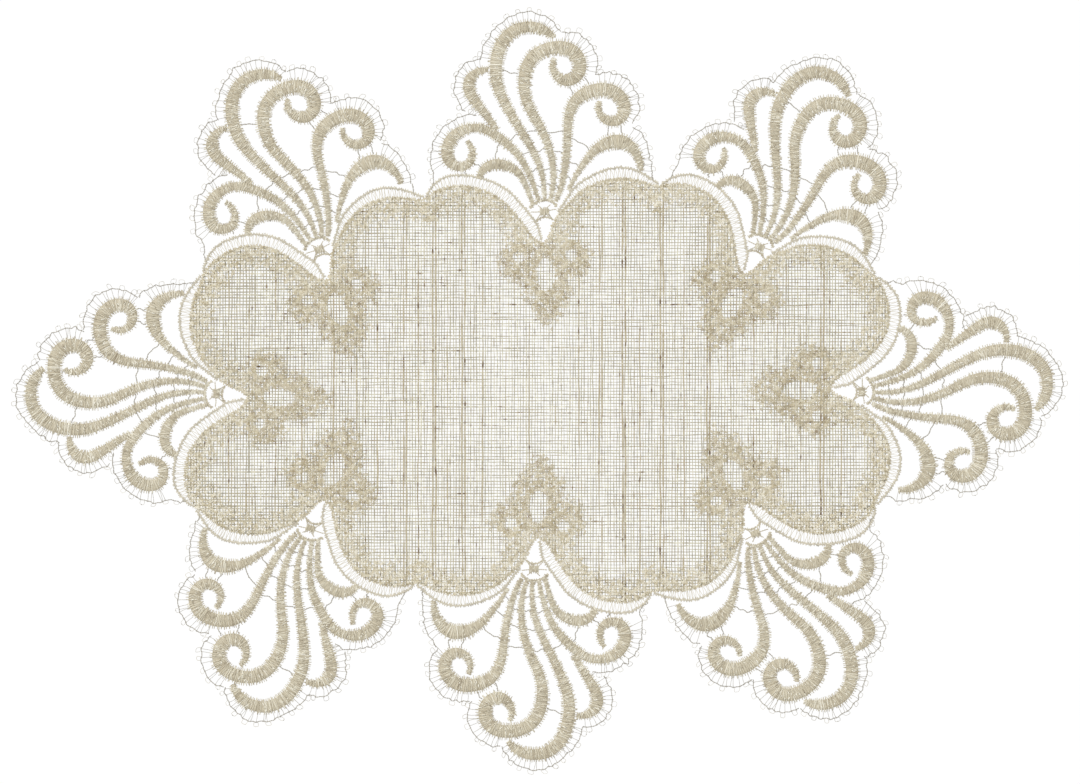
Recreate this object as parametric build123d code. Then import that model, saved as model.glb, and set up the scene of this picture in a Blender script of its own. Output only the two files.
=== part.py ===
from build123d import *
import math
import os

# A guipure lace table runner, lying flat. X runs along its length, Y across it and Z up from the
# surface that it lies on. The origin is the middle of its underside.
# An openwork linen centre is edged with eight copies of one embroidered fan. Each fan is drawn in its
# own frame: its origin is the hub where the stems meet, and +Y points outwards from the cloth.

# ---- driving sizes, in millimetres ----
runner_length = 380.0  # over the picot loops
runner_width = 276.0
pattern_length = 380.0  # the runner that the hubs and outlines below are laid out for
pattern_width = 276.0

cloth_thickness = 0.4
border_height = 0.8  # loop stitches standing on the cloth
fleur_height = 0.8
scroll_height = 1.2  # padded satin stitch
rosette_height = 1.0
edging_height = 0.6
ladder_height = 0.6
bride_height = 0.5

bride_width = 0.5
edging_cord = 0.8
edging_rung = 0.45
edging_rung_pitch = 3.4
edging_rung_reach = 4.6  # a rung is left out where the satin is further than this
picot_pitch = 4.2
picot_radius = 0.8  # to the middle of its thread
picot_thread = 0.5
ladder_cord = 0.9
ladder_rung = 0.45
ladder_rung_pitch = 2.8
rosette_side = 3.4
rosette_corner = 0.8
rosette_ring = 0.9
rosette_thread = 0.5
eyelet_radius = 1.8
stitch_gap = 0.25  # between a thread's end and the edge that it is stitched to
cusp_depth = 6.8  # how deep the border is where two wings meet
wing_fixed = 18.0  # a wing keeps its shape up to here, and past here it bends to meet its neighbour

stretch_x = runner_length / pattern_length
stretch_y = runner_width / pattern_width
satin_scale = min(stretch_x, stretch_y)

# ---- where each fan is: its name, its hub, and how far it is turned anticlockwise ----
fans = [
    ("n", 2.0, 63.2, 3.3),
    ("ne", 78.9, 50.7, -24.2),
    ("e", 115.0, -0.4, -89.5),
    ("se", 77.4, -50.3, -157.4),
    ("s", -1.9, -63.0, 177.9),
    ("sw", -81.9, -48.5, 159.9),
    ("w", -115.0, -1.1, 88.1),
    ("nw", -78.7, 49.7, 19.0),
]

# ---- one fan's satin scrolls: x, y and width along each centre line, from the hub outwards ----
curl_left = [
    (-1.8, 4.9, 0.9), (-2.6, 8, 1.1), (-4, 13, 1.5), (-6, 18, 2), (-9, 23, 2.6), (-12.8, 27, 3.2),
    (-17.5, 30.8, 3.4), (-21, 32.5, 3.1), (-25, 32.8, 3.3), (-29, 31.6, 4.1), (-32.2, 29, 4.6),
    (-33.8, 25.5, 4.6), (-33.7, 22.3, 4.3), (-32.2, 20.1, 3.8), (-29.8, 19.1, 3.3), (-27.2, 19.3, 3),
    (-25.3, 21, 2.5), (-24.6, 23.6, 2.2), (-25.1, 26.2, 1.7), (-26.4, 28.3, 1.0),
]
hook_leaf = [
    (-15.6, 31.5, 2.0), (-17, 34, 2.2), (-20, 38.5, 3), (-23, 43, 4), (-24.7, 47, 4.5),
    (-24.1, 50.3, 4.2), (-22, 52.4, 3), (-19.5, 53.4, 2), (-17.3, 53.3, 1.4),
]
tall_plume = [
    (0.3, 5.2, 0.9), (0.4, 8, 1), (0.1, 13, 1.4), (-0.9, 18, 1.9), (-2.8, 23, 2.4), (-5, 27.5, 2.6),
    (-8, 33, 3), (-10.8, 38.5, 3.4), (-13.2, 44, 4), (-14.6, 50, 4.6), (-14.4, 55, 4.9), (-13.2, 60, 5),
    (-10.6, 64.2, 4.9), (-7, 67, 4.7), (-3, 67.9, 4.4), (0.5, 67.7, 4.1), (4, 66.2, 3.4),
    (6.1, 64.6, 2), (7.0, 63.6, 1.2),
]
big_curl = [
    (2.2, 5.0, 1.0), (3.1, 8, 1.3), (3.9, 13, 1.6), (3.9, 18, 2), (3.2, 23, 2.5), (1.7, 28, 2.9),
    (-0.4, 33, 3.3), (-2.9, 38, 3.7), (-4.5, 43, 4.1), (-4.7, 48, 4.6), (-3.6, 53, 4.9),
    (-1.1, 56.8, 5), (2.6, 59.1, 5), (7.2, 60, 5.2), (11.5, 59.4, 5.2), (14.5, 57.3, 5.2),
    (15.8, 54, 5.1), (15.5, 50.8, 4.8), (13.6, 48.5, 4.4), (10.6, 47.7, 4.2), (7.9, 48.9, 3.4),
    (6.2, 51.4, 2.4), (5.9, 54, 1.8), (6.9, 56.2, 1.1),
]
right_curl = [
    (4.2, 4.7, 1.0), (5.8, 8, 1.5), (7.4, 13, 1.8), (8.5, 18, 2.2), (9.3, 23, 2.6), (9.8, 28, 2.9),
    (10.3, 33, 3.3), (11.6, 37.5, 3.9), (14, 41, 4.6), (17.5, 43, 5.1), (21.2, 43.9, 5.3),
    (25.2, 43.7, 5.3), (28.7, 41.9, 5.1), (30.7, 38.8, 4.9), (30.9, 35.7, 4.5), (29.5, 33.2, 3.9),
    (26.8, 32.1, 3.5), (24.2, 32.6, 3), (22.2, 34.5, 2.3), (21.5, 37.2, 1.8), (22.1, 39.8, 1.1),
]
right_leaf = [
    (9.2, 8.4, 0.9), (11.2, 12.2, 1.2), (14, 16.3, 1.8), (17, 20, 2.6), (20.5, 23, 3.8), (25, 24.8, 5.3),
    (28.5, 25, 5.3), (31.8, 23.3, 4.5), (34.2, 20.2, 3.2), (35.3, 17, 2.1), (35.6, 13.9, 1.2),
]
left_leaf = [
    (-4, 4, 1), (-4.9, 7, 1.2), (-6.2, 11, 1.6), (-8, 15, 2.3), (-10.9, 17.7, 3.1), (-14.4, 19.1, 3.8),
    (-18, 19.2, 3.8), (-20.7, 18, 3), (-22.2, 16, 2.2), (-23, 14.4, 1.5),
]

# ---- its net edging: the cord of each scallop, with the picots on its left-hand side ----
scallops = [
    [(-39.7, 12.6), (-38.9, 16), (-39.7, 20), (-39.5, 25), (-37.5, 30), (-34, 34), (-30, 36.5),
     (-26, 37.7), (-22.5, 37.5)],
    [(-26.8, 38.6), (-28.5, 42), (-30, 46.5), (-29.3, 51), (-27, 54.5), (-23.3, 57), (-19.6, 57.4)],
    [(-19.6, 57), (-18.5, 61.5), (-15.5, 66), (-11.5, 70), (-7, 72.6), (-2, 73.4), (3, 72), (7, 69),
     (9.3, 65.5)],
    [(9.8, 65.4), (13, 65.4), (17, 63.5), (20, 60.3), (21.7, 56.5), (21.9, 53), (20.7, 49.5)],
    [(21.3, 49.5), (24, 49.8), (28.5, 49.2), (32.5, 46.8), (35.3, 43), (36.4, 38.5), (35.8, 34.5),
     (33.5, 31)],
    [(33.6, 30), (36, 28), (38, 24), (39, 19), (39.4, 15), (39.3, 12.8)],
]

# ---- its brides, the single threads that tie neighbouring scrolls together ----
brides = [
    [(-15, 26.5), (-16.5, 21.8)], [(-10.5, 28), (-8.5, 29.3)], [(-5.5, 29.8), (-2, 30)],
    [(3, 29.8), (8, 29.7)], [(12, 27), (15, 25), (17, 22.5)], [(-6.8, 22.2), (-4.3, 22.8)],
    [(-1, 23.2), (2, 23.5)], [(4.8, 22.7), (7.9, 21.5)], [(10.2, 18.9), (13, 16.8)],
    [(-4.2, 16), (-1.7, 16.4)], [(0.3, 16.2), (3, 16.2)], [(4.8, 16.2), (7, 15.2)],
    [(8.4, 13), (10.4, 11.5)], [(-5.6, 11.2), (-3.8, 11.6)], [(-2.7, 11.0), (-0.3, 11.2)],
    [(0.8, 11.2), (3, 11)], [(4.2, 10.6), (6.2, 10)], [(-12.6, 53), (-6.8, 51.2)],
    [(11.3, 45.4), (12.2, 42.9)], [(17.5, 48.2), (18.8, 45.4)], [(24.8, 30.3), (24, 27.5)],
    [(29.2, 31.3), (29.6, 27.6)], [(-27.5, 17.4), (-27.4, 16.4)], [(-23.9, 19.9), (-22.0, 18.5)],
    [(-13.5, 17.3), (-14.3, 12)], [(-7.5, 11), (-9.6, 7.3)], [(14.2, 16.3), (15.2, 12.5)],
]

# ---- the wings, where the fan is sewn along the cloth: each line runs from the hub to the notch ----
notch_left = (-42, 6.5)
notch_right = (42, 7.7)
vee_tip = (-0.7, -10.3)
lobe_left = (-11.6, -11.6)  # where the border gives way to the fleur
lobe_right = (8.6, -11.2)
border_outer_left = [
    vee_tip, (-3.3, -9.2), (-5.6, -6.8), (-7.6, -3.5), (-10.2, 0.4), (-13.8, 4.8), (-18, 8.2),
    (-23, 10.6), (-28, 11.3), (-33, 10.9), (-38, 9.2), notch_left,
]
border_outer_right = [
    vee_tip, (1.3, -7.5), (2.6, -4), (4.3, -1), (6.3, 1.2), (9, 3.8), (12, 6.6), (16, 9), (20, 10.6),
    (25, 11.4), (30, 11.3), (35, 10), (39, 8.4), notch_right,
]
border_inner_left = [
    lobe_left, (-12.6, -7), (-14, -3.5), (-17, 0), (-21, 3.2), (-25, 4.9), (-30, 5.3), (-34.5, 4.7),
]
border_inner_right = [
    lobe_right, (9.2, -6), (10.8, -1.8), (13.5, 1.6), (17, 3.9), (21, 5.2), (26, 5.6), (30.5, 5.1),
    (34.5, 3.9),
]
ladder_line_left = [
    (-1.6, -8.8), (-2.2, -6.5), (-2.9, -3.2), (-4.5, -0.8), (-6.2, 1.6), (-8.5, 4.6), (-12, 8.9),
    (-15.5, 11.6), (-20, 13.8), (-25, 15.1), (-30, 15.3), (-34.5, 14.4), (-38, 12.2), (-40.2, 9.9),
]
ladder_line_right = [
    (4.8, 0.9), (7.4, 4.2), (9.6, 7.4), (12, 9.9), (16, 12.4), (20, 14.1), (25, 15.3), (30, 15.2),
    (34.5, 13.6), (38, 11.4), (40.4, 9.5),
]

# ---- the fleur worked on the cloth below the hub ----
fleur_outline = [
    [lobe_left, (-15, -12.6), (-16.8, -16), (-15.4, -20), (-12, -22.6), (-8.6, -23.2)],
    [(-8.6, -23.2), (-8.5, -27.5), (-7, -31.5), (-4.2, -35.4), (-1, -39)],
    [(-1, -39), (2.4, -35.4), (5.4, -31.5), (7, -27.5), (6.9, -22.9)],
    [(6.9, -22.9), (11, -21.9), (14.2, -19), (15, -15.2), (12.6, -12), lobe_right],
]
eyelets = [(-10.2, -14.7), (8.8, -14.9)]
fleur_opening_centre = (-0.8, -21.4)
fleur_opening_width = 6.2
fleur_opening_length = 11.0

# ---- the rosette at the hub ----
rosette_ring_line = [(-5.2, 1.6), (-3.6, 3.2), (-1.4, 4.1), (1.2, 4.2), (3.4, 3.2), (4.5, 1.7)]
rosette_threads = [
    [(-0.8, 1.2), (-2.2, 3.6)], [(0.8, 1.2), (2.2, 3.6)], [(-1.4, 0.2), (-4.8, 1.4)],
    [(1.4, 0.4), (4.3, 1.9)], [(-1.4, -0.6), (-3.4, -2.0)], [(1.4, -0.6), (2.9, -2.0)],
]


# ---- placing ----
def on_runner(fan, x, y):
    """A point of one fan's own frame, on the runner."""
    name, hub_x, hub_y, turn = fan
    angle = math.radians(turn)
    across = hub_x + x * math.cos(angle) - y * math.sin(angle)
    along = hub_y + x * math.sin(angle) + y * math.cos(angle)
    return Vector(across * stretch_x, along * stretch_y)


def shared_notch(index):
    """Where the right wing of a fan meets the left wing of the next one."""
    here = on_runner(fans[index], *notch_right)
    after = on_runner(fans[(index + 1) % len(fans)], *notch_left)
    return (here + after) / 2


def shared_cusp(index):
    """The inner end of the seam between two wings."""
    outwards = Vector(0, 0)
    for fan in (fans[index], fans[(index + 1) % len(fans)]):
        outwards += (on_runner(fan, 0, 1) - on_runner(fan, 0, 0)).normalized()
    return shared_notch(index) - outwards.normalized() * cusp_depth


def on_wing(index, x, y):
    """A point of a wing on the runner, eased over so that the wing ends at its shared notch."""
    point = on_runner(fans[index], x, y)
    if x > 0:
        notch = notch_right
        target = shared_notch(index)
    else:
        notch = notch_left
        target = shared_notch((index - 1) % len(fans))
    reach = (abs(x) - wing_fixed) / (abs(notch[0]) - wing_fixed)
    reach = min(max(reach, 0), 1)
    return point + (target - on_runner(fans[index], *notch)) * reach**2 * (3 - 2 * reach)


# ---- drawing ----
def directions(points):
    """The unit direction of travel at each point of a line."""
    result = []
    for i in range(len(points)):
        before = points[max(i - 1, 0)]
        after = points[min(i + 1, len(points) - 1)]
        result.append((after - before).normalized())
    return result


def left_of(direction):
    return Vector(-direction.Y, direction.X)


def band(points, widths):
    """A strip of varying width along a line, with round ends."""
    travel = directions(points)
    left = [p + left_of(d) * w / 2 for p, d, w in zip(points, travel, widths)]
    right = [p - left_of(d) * w / 2 for p, d, w in zip(points, travel, widths)]
    start_tip = points[0] - travel[0] * widths[0] / 2
    end_tip = points[-1] + travel[-1] * widths[-1] / 2
    if len(points) == 2:
        sides = [Line(left[0], left[1]), Line(right[0], right[1])]
    else:
        sides = [Spline(*left), Spline(*right)]
    caps = [ThreePointArc(left[-1], end_tip, right[-1]), ThreePointArc(left[0], start_tip, right[0])]
    return make_face([sides[0], caps[0], sides[1], caps[1]])


def strip(points, width):
    """A straight-sided strip of even width along a line, with flat ends."""
    travel = directions(points)
    left = [p + left_of(d) * width / 2 for p, d in zip(points, travel)]
    right = [p - left_of(d) * width / 2 for p, d in zip(points, travel)]
    return make_face(Polyline(*left, *reversed(right), close=True))


def rim_of(faces):
    """The outlines of some faces, for finding the nearest place on them."""
    return Compound([face.face().outer_wire() for face in faces])


def nearest_on(rim, point):
    distance, start, end = Vertex(point.X, point.Y, 0).distance_to_with_closest_points(rim)
    return distance, end


def drawn_back(point, towards):
    """The point, moved a stitch gap away from the edge that it touches."""
    return point + (towards - point).normalized() * stitch_gap


def largest_of(shape):
    return max(shape.faces(), key=lambda face: face.area)


def raised(faces, height, floor=0.0):
    """Prisms on the given floor, one for each face."""
    return [extrude(face, amount=height, dir=(0, 0, 1)).moved(Location((0, 0, floor))).solid()
            for face in faces]


def write(name, solids):
    """One file for one node."""
    node = Compound(label=name, children=solids)
    export_step(node, os.path.join("parts", name + ".step"))


# ---- the pieces of a fan ----
def scroll(fan, table):
    points = [on_runner(fan, x, y) for x, y, width in table]
    return band(points, [width * satin_scale for x, y, width in table])


def scroll_faces(fan, ladders):
    """The seven scrolls. The hook leaf grows out of the left curl and rests against the plume."""
    left = scroll(fan, curl_left)
    plume = scroll(fan, tall_plume)
    hook = largest_of(scroll(fan, hook_leaf) - left - plume)
    right_side = largest_of(scroll(fan, right_leaf) - ladders)
    left_side = largest_of(scroll(fan, left_leaf) - ladders)
    return [left, hook, plume, scroll(fan, big_curl), scroll(fan, right_curl), right_side, left_side]


def scallop_face(fan, line, satin_rim):
    """One scallop of the edging: its cord, the rungs inside it and the picot loops outside it."""
    spine = Spline(*[on_runner(fan, x, y) for x, y in line])
    rungs = max(2, round(spine.length / edging_rung_pitch))
    parts = [strip([spine @ (i / (2 * rungs)) for i in range(2 * rungs + 1)], edging_cord)]
    for i in range(rungs):
        start = spine @ ((i + 0.5) / rungs)
        distance, end = nearest_on(satin_rim, start)
        if distance < edging_rung_reach:
            parts.append(strip([start, drawn_back(end, start)], edging_rung))
    loops = max(1, round(spine.length / picot_pitch))
    for i in range(loops):
        place = (i + 0.5) / loops
        middle = spine @ place + left_of(spine % place) * picot_radius
        ring = Circle(picot_radius + picot_thread / 2) - Circle(picot_radius - picot_thread / 2)
        parts.append(ring.moved(Location((middle.X, middle.Y, 0))))
    return Sketch() + parts


def edging_faces(fan, satin_rim, ladders):
    """The scallops in order, each trimmed to the ladders and to the scallops before it."""
    done = []
    for line in scallops:
        face = scallop_face(fan, line, satin_rim)
        for before in ladders + done:
            face = face - before
        done.append(largest_of(face))
    return done


def ladder_face(index, line, edge):
    """The openwork ladder between a wing's outer cord and the cloth's edge."""
    spine = Spline(*[on_wing(index, x, y) for x, y in line])
    hem = Spline(*[on_wing(index, x, y) for x, y in edge])
    rungs = max(2, round(spine.length / ladder_rung_pitch))
    parts = [strip([spine @ (i / (2 * rungs)) for i in range(2 * rungs + 1)], ladder_cord)]
    for i in range(rungs):
        outer = spine @ ((i + 0.5) / rungs)
        distance, inner = nearest_on(hem, outer)
        if distance > ladder_cord:
            parts.append(strip([outer, drawn_back(inner, outer)], ladder_rung))
    return largest_of(Sketch() + parts)


def ladder_faces(index):
    return [ladder_face(index, ladder_line_left, border_outer_left),
            ladder_face(index, ladder_line_right, border_outer_right)]


def border_face(index, outer, inner, cusp):
    """The band of loop stitches along one wing, from the vee to the seam with the next fan."""
    outer_points = [on_wing(index, x, y) for x, y in outer]
    inner_points = [on_wing(index, x, y) for x, y in inner] + [cusp]
    return make_face([Spline(*outer_points), Line(outer_points[-1], cusp), Spline(*inner_points),
                      Line(inner_points[0], outer_points[0])])


def border_faces(index):
    before = shared_cusp((index - 1) % len(fans))
    return [border_face(index, border_outer_left, border_inner_left, before),
            border_face(index, border_outer_right, border_inner_right, shared_cusp(index))]


def fleur_face(fan):
    """The fleur: two lobes, each round an eyelet, and a drop with an opening of bare cloth."""
    sides = [Spline(*[on_runner(fan, x, y) for x, y in side]) for side in fleur_outline]
    top = [on_runner(fan, x, y) for x, y in (lobe_right, vee_tip, lobe_left)]
    face = make_face(sides + [Polyline(*top)])
    turn = fan[3]
    for x, y in eyelets:
        place = on_runner(fan, x, y)
        face -= Circle(eyelet_radius).moved(Location((place.X, place.Y, 0)))
    place = on_runner(fan, *fleur_opening_centre)
    opening = Ellipse(fleur_opening_width / 2 * satin_scale, fleur_opening_length / 2 * satin_scale)
    return largest_of(face - opening.moved(Location((place.X, place.Y, 0), (0, 0, turn))))


def rosette_face(fan, satin, ladders):
    """A square dot at the hub, its threads, and the ring that carries the stems."""
    place = on_runner(fan, 0, 0)
    dot = RectangleRounded(rosette_side, rosette_side, rosette_corner)
    parts = [dot.moved(Location((place.X, place.Y, 0), (0, 0, fan[3])))]
    parts.append(strip([on_runner(fan, x, y) for x, y in rosette_ring_line], rosette_ring))
    for line in rosette_threads:
        parts.append(strip([on_runner(fan, x, y) for x, y in line], rosette_thread))
    return largest_of(Sketch() + parts - satin - ladders)


def bride_faces(fan, rim):
    """The single threads, each drawn from one neighbour's edge to the next one's."""
    faces = []
    for line in brides:
        points = [on_runner(fan, x, y) for x, y in line]
        ends = [nearest_on(rim, points[0])[1], nearest_on(rim, points[-1])[1]]
        points[0] = drawn_back(ends[0], ends[1])
        points[-1] = drawn_back(ends[1], ends[0])
        faces.append(strip(points, bride_width))
    return faces


def ground_face():
    """The cloth, out to the outer edge of the border all the way round."""
    edges = []
    for index in range(len(fans)):
        edges.append(Spline(*[on_wing(index, x, y) for x, y in border_outer_left]))
        edges.append(Spline(*[on_wing(index, x, y) for x, y in border_outer_right]))
    return make_face(edges)


# ---- the runner ----
os.makedirs("parts", exist_ok=True)
write("linen_ground", raised([ground_face()], cloth_thickness))

for index, fan in enumerate(fans):
    prefix = "fan_" + fan[0] + "_"
    ladders = ladder_faces(index)
    ladder_sketch = Sketch() + ladders
    scrolls = scroll_faces(fan, ladder_sketch)
    rosette = rosette_face(fan, Sketch() + scrolls, ladder_sketch)
    write(prefix + "scrolls", raised(scrolls, scroll_height))
    write(prefix + "brides", raised(bride_faces(fan, rim_of(scrolls + ladders)), bride_height))
    write(prefix + "rosette", raised([rosette], rosette_height))
    write(prefix + "picot_edging", raised(edging_faces(fan, rim_of(scrolls), ladders), edging_height))
    write(prefix + "ladder", raised(ladders, ladder_height))
    write(prefix + "border", raised(border_faces(index), border_height, cloth_thickness))
    write(prefix + "fleur", raised([fleur_face(fan)], fleur_height, cloth_thickness))
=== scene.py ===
import math

import bpy
import numpy as np
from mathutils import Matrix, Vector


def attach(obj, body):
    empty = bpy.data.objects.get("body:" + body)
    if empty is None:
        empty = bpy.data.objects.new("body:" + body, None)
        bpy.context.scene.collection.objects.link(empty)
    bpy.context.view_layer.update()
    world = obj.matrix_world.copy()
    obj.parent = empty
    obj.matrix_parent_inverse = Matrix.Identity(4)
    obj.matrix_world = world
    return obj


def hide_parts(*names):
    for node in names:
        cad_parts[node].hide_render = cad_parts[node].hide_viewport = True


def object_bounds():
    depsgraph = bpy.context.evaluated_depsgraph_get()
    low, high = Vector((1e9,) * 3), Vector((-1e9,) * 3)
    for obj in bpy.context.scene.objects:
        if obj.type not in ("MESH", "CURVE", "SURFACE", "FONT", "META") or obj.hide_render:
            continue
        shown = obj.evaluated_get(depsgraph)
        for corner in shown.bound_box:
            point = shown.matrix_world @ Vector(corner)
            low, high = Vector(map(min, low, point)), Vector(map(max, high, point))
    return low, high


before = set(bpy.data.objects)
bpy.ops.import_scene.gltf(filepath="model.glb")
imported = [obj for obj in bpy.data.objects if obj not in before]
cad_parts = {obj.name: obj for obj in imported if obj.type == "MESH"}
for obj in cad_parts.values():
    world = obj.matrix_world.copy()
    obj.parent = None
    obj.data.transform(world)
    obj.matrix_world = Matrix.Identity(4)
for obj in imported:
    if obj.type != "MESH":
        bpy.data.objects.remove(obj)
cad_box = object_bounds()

# A lace table runner, lying flat. An open linen weave is edged with eight copies of one embroidered
# fan. Every visible thread is a tube. Sizes are in millimetres until a mesh is made, and the fans are
# drawn as the CAD parts are: in a frame of their own, with the hub at its origin and +Y outwards.
MM = 0.001
scene = bpy.context.scene
rng = np.random.default_rng(20)

# ---- the layout that the CAD parts share ----
pattern_length = 380.0
pattern_width = 276.0
stretch_x = round((cad_box[1][0] - cad_box[0][0]) / MM) / pattern_length
stretch_y = round((cad_box[1][1] - cad_box[0][1]) / MM) / pattern_width
satin_scale = min(stretch_x, stretch_y)
cusp_depth = 6.8  # how deep the border is where two wings meet
wing_fixed = 18.0  # a wing keeps its shape up to here, and past here it bends to meet its neighbour

# each fan's name, its hub, and how far it is turned anticlockwise
fans = [
    ("n", 2.0, 63.2, 3.3),
    ("ne", 78.9, 50.7, -24.2),
    ("e", 115.0, -0.4, -89.5),
    ("se", 77.4, -50.3, -157.4),
    ("s", -1.9, -63.0, 177.9),
    ("sw", -81.9, -48.5, 159.9),
    ("w", -115.0, -1.1, 88.1),
    ("nw", -78.7, 49.7, 19.0),
]

# the satin scrolls: x, y and width along each centre line, from the hub outwards
curl_left = [
    (-1.8, 4.9, 0.9), (-2.6, 8, 1.1), (-4, 13, 1.5), (-6, 18, 2), (-9, 23, 2.6), (-12.8, 27, 3.2),
    (-17.5, 30.8, 3.4), (-21, 32.5, 3.1), (-25, 32.8, 3.3), (-29, 31.6, 4.1), (-32.2, 29, 4.6),
    (-33.8, 25.5, 4.6), (-33.7, 22.3, 4.3), (-32.2, 20.1, 3.8), (-29.8, 19.1, 3.3), (-27.2, 19.3, 3),
    (-25.3, 21, 2.5), (-24.6, 23.6, 2.2), (-25.1, 26.2, 1.7), (-26.4, 28.3, 1.0),
]
hook_leaf = [
    (-15.6, 31.5, 2.0), (-17, 34, 2.2), (-20, 38.5, 3), (-23, 43, 4), (-24.7, 47, 4.5),
    (-24.1, 50.3, 4.2), (-22, 52.4, 3), (-19.5, 53.4, 2), (-17.3, 53.3, 1.4),
]
tall_plume = [
    (0.3, 5.2, 0.9), (0.4, 8, 1), (0.1, 13, 1.4), (-0.9, 18, 1.9), (-2.8, 23, 2.4), (-5, 27.5, 2.6),
    (-8, 33, 3), (-10.8, 38.5, 3.4), (-13.2, 44, 4), (-14.6, 50, 4.6), (-14.4, 55, 4.9), (-13.2, 60, 5),
    (-10.6, 64.2, 4.9), (-7, 67, 4.7), (-3, 67.9, 4.4), (0.5, 67.7, 4.1), (4, 66.2, 3.4),
    (6.1, 64.6, 2), (7.0, 63.6, 1.2),
]
big_curl = [
    (2.2, 5.0, 1.0), (3.1, 8, 1.3), (3.9, 13, 1.6), (3.9, 18, 2), (3.2, 23, 2.5), (1.7, 28, 2.9),
    (-0.4, 33, 3.3), (-2.9, 38, 3.7), (-4.5, 43, 4.1), (-4.7, 48, 4.6), (-3.6, 53, 4.9),
    (-1.1, 56.8, 5), (2.6, 59.1, 5), (7.2, 60, 5.2), (11.5, 59.4, 5.2), (14.5, 57.3, 5.2),
    (15.8, 54, 5.1), (15.5, 50.8, 4.8), (13.6, 48.5, 4.4), (10.6, 47.7, 4.2), (7.9, 48.9, 3.4),
    (6.2, 51.4, 2.4), (5.9, 54, 1.8), (6.9, 56.2, 1.1),
]
right_curl = [
    (4.2, 4.7, 1.0), (5.8, 8, 1.5), (7.4, 13, 1.8), (8.5, 18, 2.2), (9.3, 23, 2.6), (9.8, 28, 2.9),
    (10.3, 33, 3.3), (11.6, 37.5, 3.9), (14, 41, 4.6), (17.5, 43, 5.1), (21.2, 43.9, 5.3),
    (25.2, 43.7, 5.3), (28.7, 41.9, 5.1), (30.7, 38.8, 4.9), (30.9, 35.7, 4.5), (29.5, 33.2, 3.9),
    (26.8, 32.1, 3.5), (24.2, 32.6, 3), (22.2, 34.5, 2.3), (21.5, 37.2, 1.8), (22.1, 39.8, 1.1),
]
right_leaf = [
    (9.2, 8.4, 0.9), (11.2, 12.2, 1.2), (14, 16.3, 1.8), (17, 20, 2.6), (20.5, 23, 3.8), (25, 24.8, 5.3),
    (28.5, 25, 5.3), (31.8, 23.3, 4.5), (34.2, 20.2, 3.2), (35.3, 17, 2.1), (35.6, 13.9, 1.2),
]
left_leaf = [
    (-4, 4, 1), (-4.9, 7, 1.2), (-6.2, 11, 1.6), (-8, 15, 2.3), (-10.9, 17.7, 3.1), (-14.4, 19.1, 3.8),
    (-18, 19.2, 3.8), (-20.7, 18, 3), (-22.2, 16, 2.2), (-23, 14.4, 1.5),
]
scroll_tables = [curl_left, hook_leaf, tall_plume, big_curl, right_curl, right_leaf, left_leaf]

# the net edging: the cord of each scallop, with the picots on its left-hand side
scallops = [
    [(-39.7, 12.6), (-38.9, 16), (-39.7, 20), (-39.5, 25), (-37.5, 30), (-34, 34), (-30, 36.5),
     (-26, 37.7), (-22.5, 37.5)],
    [(-26.8, 38.6), (-28.5, 42), (-30, 46.5), (-29.3, 51), (-27, 54.5), (-23.3, 57), (-19.6, 57.4)],
    [(-19.6, 57), (-18.5, 61.5), (-15.5, 66), (-11.5, 70), (-7, 72.6), (-2, 73.4), (3, 72), (7, 69),
     (9.3, 65.5)],
    [(9.8, 65.4), (13, 65.4), (17, 63.5), (20, 60.3), (21.7, 56.5), (21.9, 53), (20.7, 49.5)],
    [(21.3, 49.5), (24, 49.8), (28.5, 49.2), (32.5, 46.8), (35.3, 43), (36.4, 38.5), (35.8, 34.5),
     (33.5, 31)],
    [(33.6, 30), (36, 28), (38, 24), (39, 19), (39.4, 15), (39.3, 12.8)],
]

# the brides, which tie neighbouring scrolls together
brides = [
    [(-15, 26.5), (-16.5, 21.8)], [(-10.5, 28), (-8.5, 29.3)], [(-5.5, 29.8), (-2, 30)],
    [(3, 29.8), (8, 29.7)], [(12, 27), (15, 25), (17, 22.5)], [(-6.8, 22.2), (-4.3, 22.8)],
    [(-1, 23.2), (2, 23.5)], [(4.8, 22.7), (7.9, 21.5)], [(10.2, 18.9), (13, 16.8)],
    [(-4.2, 16), (-1.7, 16.4)], [(0.3, 16.2), (3, 16.2)], [(4.8, 16.2), (7, 15.2)],
    [(8.4, 13), (10.4, 11.5)], [(-5.6, 11.2), (-3.8, 11.6)], [(-2.7, 11.0), (-0.3, 11.2)],
    [(0.8, 11.2), (3, 11)], [(4.2, 10.6), (6.2, 10)], [(-12.6, 53), (-6.8, 51.2)],
    [(11.3, 45.4), (12.2, 42.9)], [(17.5, 48.2), (18.8, 45.4)], [(24.8, 30.3), (24, 27.5)],
    [(29.2, 31.3), (29.6, 27.6)], [(-27.5, 17.4), (-27.4, 16.4)], [(-23.9, 19.9), (-22.0, 18.5)],
    [(-13.5, 17.3), (-14.3, 12)], [(-7.5, 11), (-9.6, 7.3)], [(14.2, 16.3), (15.2, 12.5)],
]

# the wings: each line runs from the hub's side towards the notch
notch_left = (-42, 6.5)
notch_right = (42, 7.7)
vee_tip = (-0.7, -10.3)
lobe_left = (-11.6, -11.6)  # where the border gives way to the fleur
lobe_right = (8.6, -11.2)
border_outer_left = [
    vee_tip, (-3.3, -9.2), (-5.6, -6.8), (-7.6, -3.5), (-10.2, 0.4), (-13.8, 4.8), (-18, 8.2),
    (-23, 10.6), (-28, 11.3), (-33, 10.9), (-38, 9.2), notch_left,
]
border_outer_right = [
    vee_tip, (1.3, -7.5), (2.6, -4), (4.3, -1), (6.3, 1.2), (9, 3.8), (12, 6.6), (16, 9), (20, 10.6),
    (25, 11.4), (30, 11.3), (35, 10), (39, 8.4), notch_right,
]
border_inner_left = [
    lobe_left, (-12.6, -7), (-14, -3.5), (-17, 0), (-21, 3.2), (-25, 4.9), (-30, 5.3), (-34.5, 4.7),
]
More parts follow.
